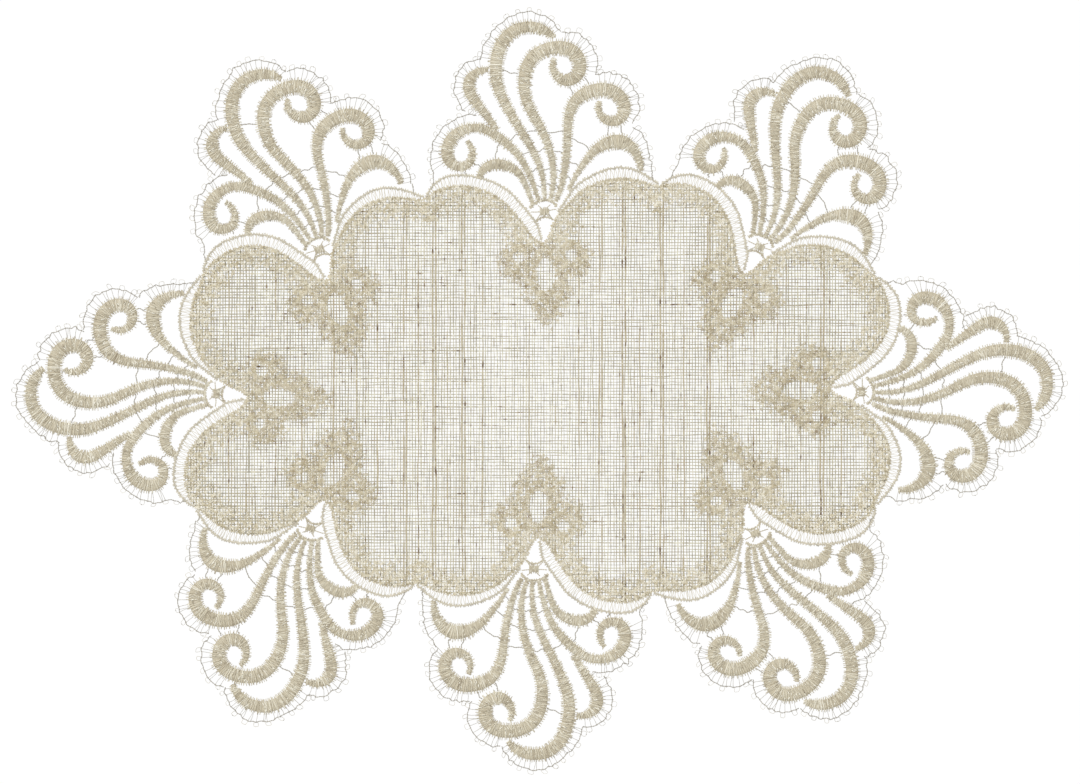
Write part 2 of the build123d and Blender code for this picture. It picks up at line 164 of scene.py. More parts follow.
border_inner_right = [
    lobe_right, (9.2, -6), (10.8, -1.8), (13.5, 1.6), (17, 3.9), (21, 5.2), (26, 5.6), (30.5, 5.1),
    (34.5, 3.9),
]
ladder_line_left = [
    (-1.6, -8.8), (-2.2, -6.5), (-2.9, -3.2), (-4.5, -0.8), (-6.2, 1.6), (-8.5, 4.6), (-12, 8.9),
    (-15.5, 11.6), (-20, 13.8), (-25, 15.1), (-30, 15.3), (-34.5, 14.4), (-38, 12.2), (-40.2, 9.9),
]
ladder_line_right = [
    (4.8, 0.9), (7.4, 4.2), (9.6, 7.4), (12, 9.9), (16, 12.4), (20, 14.1), (25, 15.3), (30, 15.2),
    (34.5, 13.6), (38, 11.4), (40.4, 9.5),
]

# the fleur on the cloth below the hub
fleur_outline = [
    [lobe_left, (-15, -12.6), (-16.8, -16), (-15.4, -20), (-12, -22.6), (-8.6, -23.2)],
    [(-8.6, -23.2), (-8.5, -27.5), (-7, -31.5), (-4.2, -35.4), (-1, -39)],
    [(-1, -39), (2.4, -35.4), (5.4, -31.5), (7, -27.5), (6.9, -22.9)],
    [(6.9, -22.9), (11, -21.9), (14.2, -19), (15, -15.2), (12.6, -12), lobe_right],
]
eyelets = [(-10.2, -14.7), (8.8, -14.9)]
eyelet_radius = 1.8
fleur_opening_centre = (-0.8, -21.4)
fleur_opening_width = 6.2
fleur_opening_length = 11.0

# the rosette at the hub
rosette_side = 3.4
rosette_ring = 0.9
rosette_rise = 1.1  # how far out from the hub the stitched dot lies
rosette_arch = [(-3.1, -2.2), (-2.2, -1.3), (0, -0.75), (2.0, -1.2), (2.9, -1.9)]
rosette_ring_line = [(-5.2, 1.6), (-3.6, 3.2), (-1.4, 4.1), (1.2, 4.2), (3.4, 3.2), (4.5, 1.7)]
rosette_threads = [
    [(-0.8, 1.2), (-2.2, 3.6)], [(0.8, 1.2), (2.2, 3.6)], [(-1.4, 0.2), (-4.8, 1.4)],
    [(1.4, 0.4), (4.3, 1.9)], [(-1.4, -0.6), (-3.4, -2.0)], [(1.4, -0.6), (2.9, -2.0)],
]

# ---- threads: sizes in millimetres, and tones from 0, the darkest, to 1 ----
point_step = 0.25  # from point to point along a stitched line
outline_step = 0.5  # the same along an outline that only bounds stitches
table_gap = 0.01  # nothing reaches below this height
surface_swell = 0.16  # the runner lies up to four times this off the table

cloth_top = 0.4
warp_pitch = 1.05
weft_pitch = 1.115
warp_radius = 0.205
weft_radius = 0.195
warp_tone = 0.64
weft_tone = 0.56
weave_depth = 0.09  # how far a thread rises and dips at a crossing
plain_unevenness = 0.16  # how much a yarn's radius wanders, as a share of it
slub_unevenness = 0.32
pair_width = 0.7  # a slub that is wider than this is two yarns side by side
slub_grain = 0.45  # how much of the plain yarns' speckle and painted crossing shade a slub has
# painted shade: the chance that a crossing is darker, where doubled threads let less light through
shaded_crossing_chance = 0.08
fleck_chance = 0.006

satin_pitch = 0.38
whipped_pitch = 0.46  # the same for stitches round a hem or a ladder's cord
fluff = 0.6  # how much wider the stitches lie than their outline
satin_thread = 0.22  # half the width that one stitch covers
satin_base = 0.3  # how high the narrowest satin band stands
satin_swell = 0.18  # how much higher it stands for each millimetre of its width
teeth_spread = 0.15  # how unevenly the stitches' ends stand out
core_share = 0.42  # half the padded core's width, as a share of the band's
glint_density = 0.8  # glints on a square millimetre

net_thread = 0.11
net_tone = 0.42
cord_thread = 0.13
cord_tone = 0.38
knot_tone = 0.3
cord_twist = 0.12  # how far a cord's two threads swing from its middle
net_height = 0.3
rung_height = 0.25
rung_pitch = 2.2
rung_reach = 5.2  # a scallop's rung is left out where the scrolls are farther off than this
picot_pitch = 4.2

loop_thread = 0.15
loop_pitch = 0.68
loop_size = 0.44
loop_height = 0.72
halo = 4.0  # how far loose stitches stray past a border or a fleur
eyelet_ring_radius = 4.6
drop_band = 3.2  # how wide the fleur's drop is round its opening
pierced_pitch = 3.2
pierced_radius = 0.52
hem_hole_radius = 0.42
hem_hole_inset = 1.7
hem_hole_every = 3  # outline points


# ---- placing ----
def on_runner(fan, points):
    """Points of one fan's own frame, on the runner."""
    _, hub_x, hub_y, turn = fan
    points = np.asarray(points, float)
    angle = math.radians(turn)
    x = hub_x + points[..., 0] * math.cos(angle) - points[..., 1] * math.sin(angle)
    y = hub_y + points[..., 0] * math.sin(angle) + points[..., 1] * math.cos(angle)
    return np.stack([x * stretch_x, y * stretch_y], axis=-1)


def shared_notch(index):
    """Where the right wing of a fan meets the left wing of the next one."""
    here = on_runner(fans[index], notch_right)
    after = on_runner(fans[(index + 1) % len(fans)], notch_left)
    return (here + after) / 2


def shared_cusp(index):
    """The inner end of the seam between two wings."""
    outwards = np.zeros(2)
    for fan in (fans[index], fans[(index + 1) % len(fans)]):
        outwards += unit(on_runner(fan, (0, 1)) - on_runner(fan, (0, 0)))
    return shared_notch(index) - unit(outwards) * cusp_depth


def on_wing(index, points):
    """Points of a wing on the runner, eased over so that the wing ends at its shared notch."""
    points = np.asarray(points, float)
    if points[-1, 0] > 0:
        notch = notch_right
        target = shared_notch(index)
    else:
        notch = notch_left
        target = shared_notch(index - 1)
    reach = np.clip((abs(points[:, 0]) - wing_fixed) / (abs(notch[0]) - wing_fixed), 0, 1)
    ease = (reach**2 * (3 - 2 * reach))[:, None]
    return on_runner(fans[index], points) + (target - on_runner(fans[index], notch)) * ease


def lie(x, y):
    """How far the runner stands off the table, as ironed cloth that is not quite flat."""
    swell = np.sin(x / 23 + 0.7) * np.cos(y / 19 - 0.4)
    swell = swell + 0.6 * np.sin(x / 11 - y / 14 + 1.9)
    swell = swell + 0.4 * np.cos(x / 31 + y / 9)
    return surface_swell * (2 + swell)


# ---- lines ----
def unit(vectors):
    """The same directions, each of length 1."""
    length = np.linalg.norm(vectors, axis=-1, keepdims=True)
    return vectors / np.maximum(length, 1e-9)


def left_of(directions):
    """Each direction turned a quarter to its left."""
    return np.stack([-directions[..., 1], directions[..., 0]], axis=-1)


def curve_through(points, spacing=point_step):
    """Evenly spaced points on a smooth curve through the given ones. Further columns go along."""
    points = np.asarray(points, float)
    chords = np.linalg.norm(np.diff(points[:, :2], axis=0), axis=1)
    knots = np.concatenate([[0], np.cumsum(chords)])
    count = len(knots)
    system = np.eye(count)
    bend = np.zeros_like(points)
    for i in range(1, count - 1):
        before, after = knots[i] - knots[i - 1], knots[i + 1] - knots[i]
        system[i, i - 1:i + 2] = before, 2 * (before + after), after
        bend[i] = 6 * ((points[i + 1] - points[i]) / after - (points[i] - points[i - 1]) / before)
    bend = np.linalg.solve(system, bend)
    places = np.linspace(0, knots[-1], count * 16)
    i = np.clip(np.searchsorted(knots, places, side="right") - 1, 0, count - 2)
    span = chords[i][:, None]
    b = (places - knots[i])[:, None] / span
    a = 1 - b
    curve = a * points[i] + b * points[i + 1]
    curve += ((a**3 - a) * bend[i] + (b**3 - b) * bend[i + 1]) * span**2 / 6
    return respaced(curve, spacing)


def sampled(places, known, values):
    """Rows of values at places between those where they are known."""
    return np.stack([np.interp(places, known, column) for column in values.T], axis=-1)


def respaced(curve, spacing):
    """A line's points at even steps along it."""
    steps = np.linalg.norm(np.diff(curve[:, :2], axis=0), axis=1)
    travelled = np.concatenate([[0], np.cumsum(steps)])
    places = np.linspace(0, travelled[-1], max(2, round(travelled[-1] / spacing) + 1))
    return sampled(places, travelled, curve)


def length_of(line):
    """How long a line of points is."""
    return np.linalg.norm(np.diff(line, axis=0), axis=1).sum()


def raised(plan, height):
    """The points of a plan, each with its height."""
    height = np.broadcast_to(height, plan.shape[:-1])
    return np.concatenate([plan, height[..., None]], axis=-1)


def frame_of(line):
    """The direction of travel at each point of a line, and the direction to its left."""
    travel = unit(np.gradient(line[:, :2], axis=0))
    return travel, left_of(travel)


def drift(count, knot_every, size=1.0):
    """Smooth random wandering about zero, for uneven yarn."""
    knots = rng.normal(0, size, max(2, math.ceil(count / knot_every) + 2))
    return np.interp(np.arange(count) / knot_every, np.arange(len(knots)), knots)


def inside(points, polygon):
    """Which points are inside a closed polygon."""
    result = np.zeros(len(points), bool)
    x, y = points[:, 0], points[:, 1]
    for (x0, y0), (x1, y1) in zip(polygon, np.roll(polygon, -1, axis=0)):
        if y0 != y1:
            result ^= ((y0 > y) != (y1 > y)) & (x < (x1 - x0) * (y - y0) / (y1 - y0) + x0)
    return result


def distance_to(points, line):
    """How far each point is from the nearest of a line's points."""
    batch = 2000  # points at a time, to spare memory
    best = np.full(len(points), np.inf)
    for start in range(0, len(points), batch):
        part = points[start:start + batch]
        gap = np.linalg.norm(part[:, None, :2] - line[None, :, :2], axis=2)
        best[start:start + batch] = gap.min(axis=1)
    return best


# ---- meshes ----
class Threads:
    """The threads of one piece, each a tube along a line of points."""

    def __init__(self):
        self.batches = []

    def add(self, lines, radius, tone, flat=1.0, sides=4, closed=False):
        """lines is (threads, points, 3). The other values are single, one a thread or one a point."""
        lines = np.array(lines, float)
        if lines.ndim == 2:
            lines = lines[None]
        lines[..., 2] += lie(lines[..., 0], lines[..., 1])
        values = []
        for value in (radius, tone, flat):
            value = np.asarray(value, float)
            if value.ndim == 1:
                value = value[:, None]
            values.append(np.broadcast_to(value, lines.shape[:2]))
        self.batches.append((lines, *values, sides, closed))

    def mesh(self, name, cell_shape):
        """One mesh of all the tubes. cell_shape is a tube's place in the UV map, length to width."""
        total = sum(len(batch[0]) for batch in self.batches)
        columns = max(1, round(math.sqrt(total / cell_shape)))
        rows = math.ceil(total / columns)
        points, tones, corners, sizes, uvs = [], [], [], [], []
        first_vertex = 0
        first_cell = 0
        for lines, radius, tone, flat, sides, closed in self.batches:
            count, length = lines.shape[:2]
            points.append(tube_points(lines, radius, flat, sides, closed))
            tones.append(np.repeat(tone.ravel(), sides))
            cells = first_cell + np.arange(count)
            corner = np.stack([cells % columns / columns, cells // columns / rows], axis=-1)
            quads, quad_uvs, caps, cap_uvs = tube_faces(length, sides, closed)
            starts = first_vertex + np.arange(count)[:, None, None] * length * sides
            for faces, face_uvs in ((quads, quad_uvs), (caps, cap_uvs)):
                if len(faces) == 0:
                    continue
                corners.append((starts + faces[None]).ravel())
                sizes.append(np.full(count * len(faces), faces.shape[1]))
                placed = corner[:, None, None] + face_uvs[None] / (columns, rows)
                uvs.append(placed.reshape(-1, 2))
            first_vertex += count * length * sides
            first_cell += count
        return mesh_of(name, np.concatenate(points) * MM, np.concatenate(corners),
                       np.concatenate(sizes), np.concatenate(uvs), np.concatenate(tones))


def tube_points(lines, radius, flat, sides, closed):
    """The rings of points round each line."""
    if closed:
        travel = np.roll(lines, -1, axis=1) - np.roll(lines, 1, axis=1)
    else:
        travel = np.gradient(lines, axis=1)
    travel = unit(travel)
    side = unit(np.cross(travel, (0, 0, 1)) + (1e-6, 0, 0))
    above = np.cross(side, travel)
    turn = 2 * math.pi * (np.arange(sides) + 0.5) / sides
    out = radius[..., None, None] * np.cos(turn)[None, None, :, None] * side[:, :, None]
    up = (radius * flat)[..., None, None] * np.sin(turn)[None, None, :, None] * above[:, :, None]
    points = (lines[:, :, None] + out + up).reshape(-1, 3)
    points[:, 2] = np.maximum(points[:, 2], table_gap)
    return points


def tube_faces(length, sides, closed):
    """One tube's faces as vertex numbers, with their places in its cell of the UV map."""
    end_margin, side_margin = 0.06, 0.05
    cap_inset, cap_length, cap_width = 0.03, 0.02, 0.3
    last = length if closed else length - 1
    i, s = np.meshgrid(np.arange(last), np.arange(sides), indexing="ij")
    i, s = i.ravel(), s.ravel()
    ring_after, side_after = (i + 1) % length, (s + 1) % sides
    quads = np.stack([i * sides + s, ring_after * sides + s, ring_after * sides + side_after,
                      i * sides + side_after], axis=-1)
    along = np.stack([i, i + 1, i + 1, i], axis=-1) / last * (1 - 2 * end_margin) + end_margin
    around = np.stack([s, s, s + 1, s + 1], axis=-1) / sides * (1 - 2 * side_margin) + side_margin
    quad_uvs = np.stack([along, around], axis=-1)
    if closed:
        return quads, quad_uvs, np.zeros((0, sides), int), np.zeros((0, sides, 2))
    ring = np.arange(sides)
    caps = np.stack([ring, (length - 1) * sides + ring[::-1]])
    turn = 2 * math.pi * (ring + 0.5) / sides
    spot = np.stack([np.cos(turn) * cap_length, np.sin(turn) * cap_width], axis=-1)
    cap_uvs = np.stack([spot + (cap_inset, 0.5), spot[::-1] + (1 - cap_inset, 0.5)])
    return quads, quad_uvs, caps, cap_uvs


def mesh_of(name, points, corners, sizes, uvs, tones):
    """A Blender mesh from arrays, smooth-shaded, with its UV map and its tone at every point."""
    mesh = bpy.data.meshes.new(name)
    mesh.vertices.add(len(points))
    mesh.vertices.foreach_set("co", points.ravel())
    mesh.loops.add(len(corners))
    mesh.loops.foreach_set("vertex_index", corners.astype(np.int32))
    mesh.polygons.add(len(sizes))
    starts = np.concatenate([[0], np.cumsum(sizes)[:-1]])
    mesh.polygons.foreach_set("loop_start", starts.astype(np.int32))
    mesh.polygons.foreach_set("loop_total", sizes.astype(np.int32))
    mesh.update(calc_edges=True)
    mesh.polygons.foreach_set("use_smooth", np.ones(len(sizes), bool))
    layer = mesh.uv_layers.new(name="OFBake")
    layer.data.foreach_set("uv", uvs.ravel())
    tone = mesh.attributes.new("tone", "FLOAT", "POINT")
    tone.data.foreach_set("value", tones)
    mesh.validate()
    return mesh


def in_scene(name, data):
    """A new object that shows the given mesh, light or camera."""
    item = bpy.data.objects.new(name, data)
    scene.collection.objects.link(item)
    return item


def make_piece(name, threads, node, slot, cell_shape):
    """A piece that stands for one CAD node, in the finish of its material slot."""
    mesh = threads.mesh(name, cell_shape)
    mesh.materials.append(finishes[slot])
    piece = in_scene(name, mesh)
    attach(piece, "root")
    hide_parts(node)
    return piece


def fan_piece(fan, name, threads, node, slot, cell_shape):
    """The same for a node of one fan."""
    make_piece(f"fan_{fan[0]}_{name}", threads, f"fan_{fan[0]}_{node}", slot, cell_shape)


# ---- stitches ----
def satin_rise(width, height):
    """How high a satin band stands where it is this wide, up to a greatest height."""
    return np.minimum(height, satin_base + satin_swell * width)


def satin(threads, line, widths, height, tone, pitch=satin_pitch, teeth=0.26, padded=True):
    """Zigzag satin stitches across a line, over a padded core. Their ends stand out unevenly.

    widths is one value, or one a point of the line."""
    widths = np.zeros(len(line)) + widths
    end_height = 0.12
    painted_end_shade = 0.22  # painted shade: how much darker a stitch is at its ends, where it sinks into the cloth
    # painted shade: the core is darker than the stitches, for the shade in the gaps between them
    painted_core_shade = 0.15
    steps = max(2, round(length_of(line) / pitch))
    place = np.linspace(0, len(line) - 1, steps + 1)
    place = np.clip(place + rng.normal(0, 0.5, steps + 1) * (place[1] - place[0]), 0, len(line) - 1)
    index = np.arange(len(line))
    centre = sampled(place, index, line)
    left = sampled(place, index, frame_of(line)[1])
    width = np.interp(place, index, widths)
    side = np.where(np.arange(steps + 1) % 2 == 0, 1.0, -1.0)
    overshoot = (teeth + rng.normal(0, teeth_spread, steps + 1)) * np.clip(width / 2.5, 0.6, 1)
    edge = centre + left * (side * (width / 2 + overshoot))[:, None]
    rise = satin_rise(width, height)
    across = np.array([0, 0.07, 0.22, 0.5, 0.78, 0.93, 1])
    arch = np.sqrt(1 - (2 * across - 1)**2)
    start, end = edge[:-1, None], edge[1:, None]
    plan = start + (end - start) * across[None, :, None]
    z = end_height + arch[None] * (rise[:-1, None] - satin_base) + rng.normal(0, 0.035, (steps, 1))
    spread = satin_thread * (0.62 + 0.38 * arch)[None] * rng.uniform(0.8, 1.15, (steps, 1))
    shade = tone + drift(steps, 6, 0.05) + rng.normal(0, 0.12, steps)
    shade = shade[:, None] - painted_end_shade * (1 - arch)[None]
    threads.add(raised(plan, z), spread, shade, flat=0.6)
    if padded:
        padding(threads, line, widths, height, tone - painted_core_shade)
        glints(threads, line, widths, height, tone)


def padding(threads, line, widths, height, tone):
    """The core that a satin band is stitched over: one flat tube, just under the stitches."""
    stitching = 0.35  # how much thinner the core is than the band
    thinnest = 0.12
    underside = 0.08
    keep = np.unique(np.append(np.arange(0, len(line), 4), len(line) - 1))
    half = widths[keep] * core_share
    thick = np.maximum(satin_rise(widths[keep], height) - stitching, thinnest)
    core = raised(line[keep], underside + thick / 2)
    threads.add(core, half[None], tone, flat=(thick / 2 / half)[None], sides=8)


def glints(threads, line, widths, height, tone):
    """Short pieces of yarn lying on a satin band, some with a painted highlight and some with painted
    shade.
    """
    highlight_share = 0.6
    # painted highlight and painted shade, added to the band's tone
    painted_highlight, shaded = 0.25, -0.24
    bow = 0.06
    count = round(length_of(line) * widths.mean() * glint_density)
    place = rng.integers(0, len(line), count)
    travel, left = frame_of(line)
    offset = rng.uniform(-0.46, 0.46, count)
    middle = line[place] + left[place] * (offset * widths[place])[:, None]
    lean = left[place] + travel[place] * rng.normal(0, 0.45, count)[:, None]
    reach = unit(lean) * rng.uniform(0.3, 0.75, count)[:, None]
    arch = np.sqrt(1 - (2 * abs(offset))**2)
    z = 0.17 + arch * (satin_rise(widths[place], height) - 0.27)
    ends = np.stack([middle - reach, middle, middle + reach], axis=1)
    heights = np.stack([z - bow, z + bow, z - bow], axis=1)
    shade = tone + np.where(rng.random(count) < highlight_share, painted_highlight, shaded)
    shade = shade + rng.normal(0, 0.08, count)
    radius = rng.uniform(0.13, 0.24, count)
    threads.add(raised(ends, heights), radius[:, None], shade[:, None], flat=0.6)


def twisted(threads, line, amplitude, radius, tone, z, lay=1.7):
    """Two threads twisted together along a line. lay is the length of one turn."""
    plies = 2
    step = 0.35
    line = respaced(line, step)
    left = frame_of(line)[1]
    travelled = np.arange(len(line)) * step
    phase = rng.uniform(0, 2 * math.pi)
    wander = drift(len(line), 5, 0.07)
    for ply in range(plies):
        turn = 2 * math.pi * (travelled / lay + ply / plies) + phase
        plan = line + left * (np.cos(turn) * amplitude + wander)[:, None]
        height = z + np.sin(turn) * amplitude * 0.8
        shade = tone + drift(len(line), 6, 0.06)
        threads.add(raised(plan, height), radius, shade[None])


def single(threads, start, end, radius, tone, z, bow=0.12):
    """One loose thread between two places, slightly bowed."""
    count = 5
    t = np.linspace(0, 1, count)[:, None]
    arc = (4 * t * (1 - t)) * rng.normal(0, bow)
    plan = start + (end - start) * t + left_of(unit(end - start)) * arc
    threads.add(raised(plan, z + rng.normal(0, 0.02, count)), radius, tone)


def knot(threads, place, radius, tone, z):
    """A small lump where threads cross."""
    turn = rng.uniform(0, 2 * math.pi)
    reach = np.array([math.cos(turn), math.sin(turn)]) * radius * 0.9
    plan = place + np.array([-1, -0.55, 0, 0.55, 1])[:, None] * reach
    bulge = radius * np.array([0.3, 0.85, 1, 0.85, 0.3])
    threads.add(raised(plan, z), bulge[None], tone, flat=0.8, sides=6)


def loops(threads, centres, tone):
    """Small loops of thread, one at each centre, tipped and stretched each in its own way."""
    count = len(centres)
    corners = 8
    turn = np.linspace(0, 2 * math.pi, corners, endpoint=False)[None]
    long = loop_size * rng.uniform(0.85, 1.35, (count, 1))
    short = loop_size * rng.uniform(0.6, 0.95, (count, 1))
    tip = rng.uniform(0, 2 * math.pi, (count, 1))
    x = long * np.cos(turn)
    y = short * np.sin(turn)
    plan_x = centres[:, :1] + x * np.cos(tip) - y * np.sin(tip)
    plan_y = centres[:, 1:] + x * np.sin(tip) + y * np.cos(tip)
    slope = rng.uniform(0.1, 0.45, (count, 1))
    raised_lit_side = np.cos(turn + tip * 3)
    height = loop_height + rng.uniform(-0.06, 0.1, (count, 1)) + slope * loop_size * raised_lit_side
    # painted light: the higher side of each loop is lighter and the lower side darker
    shade = np.clip(tone + rng.normal(0, 0.13, (count, 1)) + 0.1 * raised_lit_side, 0, 1)
    radius = loop_thread * rng.uniform(0.8, 1.25, (count, 1))
    lines = np.stack([plan_x, plan_y, height], axis=-1)
    threads.add(lines, radius, shade, closed=True)


# ---- materials ----
def set_inputs(node, values):
    """Gives a node's inputs their fixed values, by name."""
    for name, value in values.items():
        node.inputs[name].default_value = value


def noise(tree, place, scale, detail):
    """Noise over a piece's own coordinates, in metres."""
    texture = tree.nodes.new("ShaderNodeTexNoise")
    set_inputs(texture, {"Scale": scale, "Detail": detail})
    tree.links.new(place.outputs["Object"], texture.inputs["Vector"])
    return texture.outputs["Fac"]


def sum_with(tree, base, value, share):
    """base plus a share of value."""
    node = tree.nodes.new("ShaderNodeMath")
    node.operation = "MULTIPLY_ADD"
    node.inputs[1].default_value = share
    tree.links.new(value, node.inputs[0])
    tree.links.new(base, node.inputs[2])
    return node.outputs[0]


def thread_material(name, ramp, fibre_scale, roughness, sheen, specular):
    """Spun thread. The tone at each point picks from the ramp, and fibre noise breaks it up."""
    fibre_share = 0.35
    blotch_scale = 110.0
    blotch_share = 0.22
    material = bpy.data.materials.new(name)
    material.use_nodes = True
    tree = material.node_tree
    shader = tree.nodes["Principled BSDF"]
    set_inputs(shader, {"Roughness": roughness, "Specular IOR Level": specular,
                        "Sheen Weight": sheen, "Sheen Roughness": 0.45,
                        "Sheen Tint": (1.0, 0.97, 0.9, 1.0)})
    tone = tree.nodes.new("ShaderNodeAttribute")
    tone.attribute_name = "tone"
    place = tree.nodes.new("ShaderNodeTexCoord")
    fibre = noise(tree, place, fibre_scale, 3.0)
    blotch = noise(tree, place, blotch_scale, 2.0)
    mixed = sum_with(tree, tone.outputs["Fac"], fibre, fibre_share)
    mixed = sum_with(tree, mixed, blotch, blotch_share)
    centred = tree.nodes.new("ShaderNodeMath")
    centred.operation = "SUBTRACT"
    centred.inputs[1].default_value = (fibre_share + blotch_share) / 2
    tree.links.new(mixed, centred.inputs[0])
    colours = tree.nodes.new("ShaderNodeValToRGB")
    elements = colours.color_ramp.elements
    while len(elements) < len(ramp):
        elements.new(0.5)
    for element, (position, colour) in zip(elements, ramp):
        element.position = position
        element.color = (*colour, 1.0)
    tree.links.new(centred.outputs[0], colours.inputs["Fac"])
    tree.links.new(colours.outputs["Color"], shader.inputs["Base Color"])
    bump = tree.nodes.new("ShaderNodeBump")
    set_inputs(bump, {"Strength": 0.35, "Distance": 0.08 * MM})
    tree.links.new(fibre, bump.inputs["Height"])
    tree.links.new(bump.outputs["Normal"], shader.inputs["Normal"])
    return material


# the tone picks a colour from each ramp, and linen's second and third stops are its slubs
linen_ramp = [
    (0.0, (0.14, 0.09, 0.045)), (0.16, (0.42, 0.36, 0.245)), (0.3, (0.49, 0.435, 0.31)),
    (0.42, (0.34, 0.31, 0.235)), (0.65, (0.49, 0.455, 0.34)), (1.0, (0.70, 0.67, 0.54)),
]
satin_ramp = [
    (0.0, (0.22, 0.165, 0.10)), (0.4, (0.47, 0.415, 0.30)), (0.7, (0.61, 0.56, 0.43)),
    (1.0, (0.84, 0.81, 0.70)),
]
loop_ramp = [
    (0.0, (0.27, 0.185, 0.10)), (0.4, (0.50, 0.43, 0.285)), (0.7, (0.67, 0.605, 0.44)),
    (1.0, (0.84, 0.80, 0.68)),
]
net_ramp = [
    (0.0, (0.20, 0.18, 0.155)), (0.4, (0.38, 0.355, 0.305)), (0.7, (0.52, 0.48, 0.385)),
    (1.0, (0.70, 0.65, 0.53)),
]
finishes = {
    "linen": thread_material("linen_yarn", linen_ramp, fibre_scale=2600, roughness=0.85,
                             sheen=0.15, specular=0.2),
    "satin_thread": thread_material("satin_yarn", satin_ramp, fibre_scale=3000, roughness=0.45,
                                    sheen=0.3, specular=0.45),
    "loop_thread": thread_material("loop_yarn", loop_ramp, fibre_scale=2600, roughness=0.75,
                                   sheen=0.2, specular=0.25),
    "net_thread": thread_material("net_yarn", net_ramp, fibre_scale=2600, roughness=0.7,
                                  sheen=0.2, specular=0.3),
}


# ---- the cloth ----
def ground_outline():
    """The cloth's edge all the way round, as a closed polygon."""
    parts = []
    for index in range(len(fans)):
        parts.append(curve_through(on_wing(index, border_outer_left), 1.0)[::-1])
        parts.append(curve_through(on_wing(index, border_outer_right), 1.0))
    return np.concatenate(parts)


def crossings(polygon, axis, place):
    """Where a straight thread enters and leaves the cloth."""
    after = np.roll(polygon, -1, axis=0)
    here = polygon[:, axis]
    there = after[:, axis]
    cut = (here > place) != (there > place)
    share = (place - here[cut]) / (there[cut] - here[cut])
    other = 1 - axis
    return np.sort(polygon[cut, other] + share * (after[cut, other] - polygon[cut, other]))


def fullness(x):
    """The yarn is a little fuller towards the ends of the cloth, most of all on the left."""
    half_length = 115
    least, left_gain, right_gain = 1.03, 0.3, 0.2
    return least + np.where(np.asarray(x) < 0, left_gain, right_gain) * np.abs(x) / half_length


def weave(threads, polygon, axis, places, radii, tones, drifts, partners):
    """One set of the cloth's threads. axis 0 is warp, which runs along Y, and axis 1 is weft."""
    thinnest, thickest = 0.07, 0.45
    yarns = zip(places, radii, tones, drifts)
    for number, (place, radius, tone, uneven) in enumerate(yarns):
        ends = crossings(polygon, axis, place)
        for start, end in zip(ends[0::2], ends[1::2]):
            met = (partners > start) & (partners < end)
            if met.sum() < 2:
                continue
            along = np.concatenate([[start], partners[met], [end]])
            order = np.flatnonzero(met)
            over = np.where((order + number + axis) % 2 == 0, 1.0, -1.0)
            over = np.concatenate([[-over[0]], over, [-over[-1]]])
            count = len(along)
            line = np.zeros((count, 3))
            line[:, axis] = place + drift(count, 9, 0.09) + drift(count, 2, 0.04)
            line[:, 1 - axis] = along
            line[:, 2] = cloth_top / 2 + over * weave_depth
            thick = radius * (1 + drift(count, 11, uneven) + drift(count, 2, 0.12))
            thick *= fullness(along if axis == 1 else place)
            grain = 1.0
            if uneven == slub_unevenness:
                thick *= 1 - 0.4 * (drift(count, 16) > 0.7)
                grain = slub_grain
            shade = tone + grain * (drift(count, 9, 0.1) + rng.normal(0, 0.14, count))
            # painted shade at some crossings
            shade[rng.random(count) < shaded_crossing_chance] -= 0.3 * grain
            for fleck in np.flatnonzero(rng.random(count) < fleck_chance):
                shade[fleck:fleck + 2] -= rng.uniform(0.25, 0.7)
                thick[fleck:fleck + 2] *= rng.uniform(1.05, 1.5)
            thick = np.clip(thick, thinnest, thickest)
            threads.add(line, thick[None], np.clip(shade, 0, 1)[None], flat=0.8)


def make_cloth(polygon):
    """The plain weave, cut to the polygon, with a slub or a pair of them at each stripe."""
    low, high = polygon.min(axis=0), polygon.max(axis=0)
    warp = np.arange(low[0], high[0], warp_pitch)
    weft = np.arange(low[1], high[1], weft_pitch)
    warp_radii = warp_radius * (1 + rng.normal(0, 0.1, len(warp)))
    warp_tones = warp_tone + rng.normal(0, 0.09, len(warp))
    warp_drift = np.full(len(warp), plain_unevenness)
    for place, width, tone in slub_stripes:
        near = np.argmin(abs(warp - place))
        yarns = slice(near, near + (2 if width > pair_width else 1))
        warp_radii[yarns] = width / 2
        warp_tones[yarns] = tone
        warp_drift[yarns] = slub_unevenness
    weft_radii = weft_radius * (1 + rng.normal(0, 0.14, len(weft)))
    weft_tones = weft_tone + rng.normal(0, 0.07, len(weft))
    weft_drift = np.full(len(weft), plain_unevenness)
    threads = Threads()
    weave(threads, polygon, 0, warp, warp_radii, warp_tones, warp_drift, weft)
    weave(threads, polygon, 1, weft, weft_radii, weft_tones, weft_drift, warp)
    one_to_a_row = 1e6
    piece = make_piece("linen_weave", threads, "linen_ground", "linen", one_to_a_row)


# thicker warp yarns: where they lie, how wide they are and their tone
slub_stripes = [
    (-112, 0.5, 0.24), (-104, 0.55, 0.3), (-95, 0.5, 0.2), (-86, 0.6, 0.24), (-74, 0.6, 0.22),
    (-66, 0.55, 0.3), (-58, 0.6, 0.24), (-49, 0.85, 0.26), (-43.5, 0.6, 0.2), (-38.5, 0.9, 0.26),
    (-33, 0.6, 0.3), (-28, 0.8, 0.24), (-20, 0.6, 0.28), (-12, 0.5, 0.3), (-4, 0.55, 0.28),
    (6, 0.5, 0.3), (14, 0.6, 0.26), (22, 0.8, 0.26), (30, 0.85, 0.2), (36, 0.6, 0.28),
    (43.5, 0.8, 0.22), (52, 0.6, 0.28), (60, 0.85, 0.24), (68, 0.55, 0.28), (77, 0.6, 0.22),
    (86, 0.6, 0.26), (94, 0.55, 0.3), (101, 0.8, 0.24), (109, 0.5, 0.28),
]


# ---- the pieces of a fan ----
def scroll_lines(fan):
    """Each scroll's centre line and its widths along it."""
    result = []
    for table in scroll_tables:
        table = np.array(table)
        placed = np.concatenate([on_runner(fan, table[:, :2]), table[:, 2:] * satin_scale], axis=1)
        curve = curve_through(placed)
        result.append((curve[:, :2], curve[:, 2]))
    return result


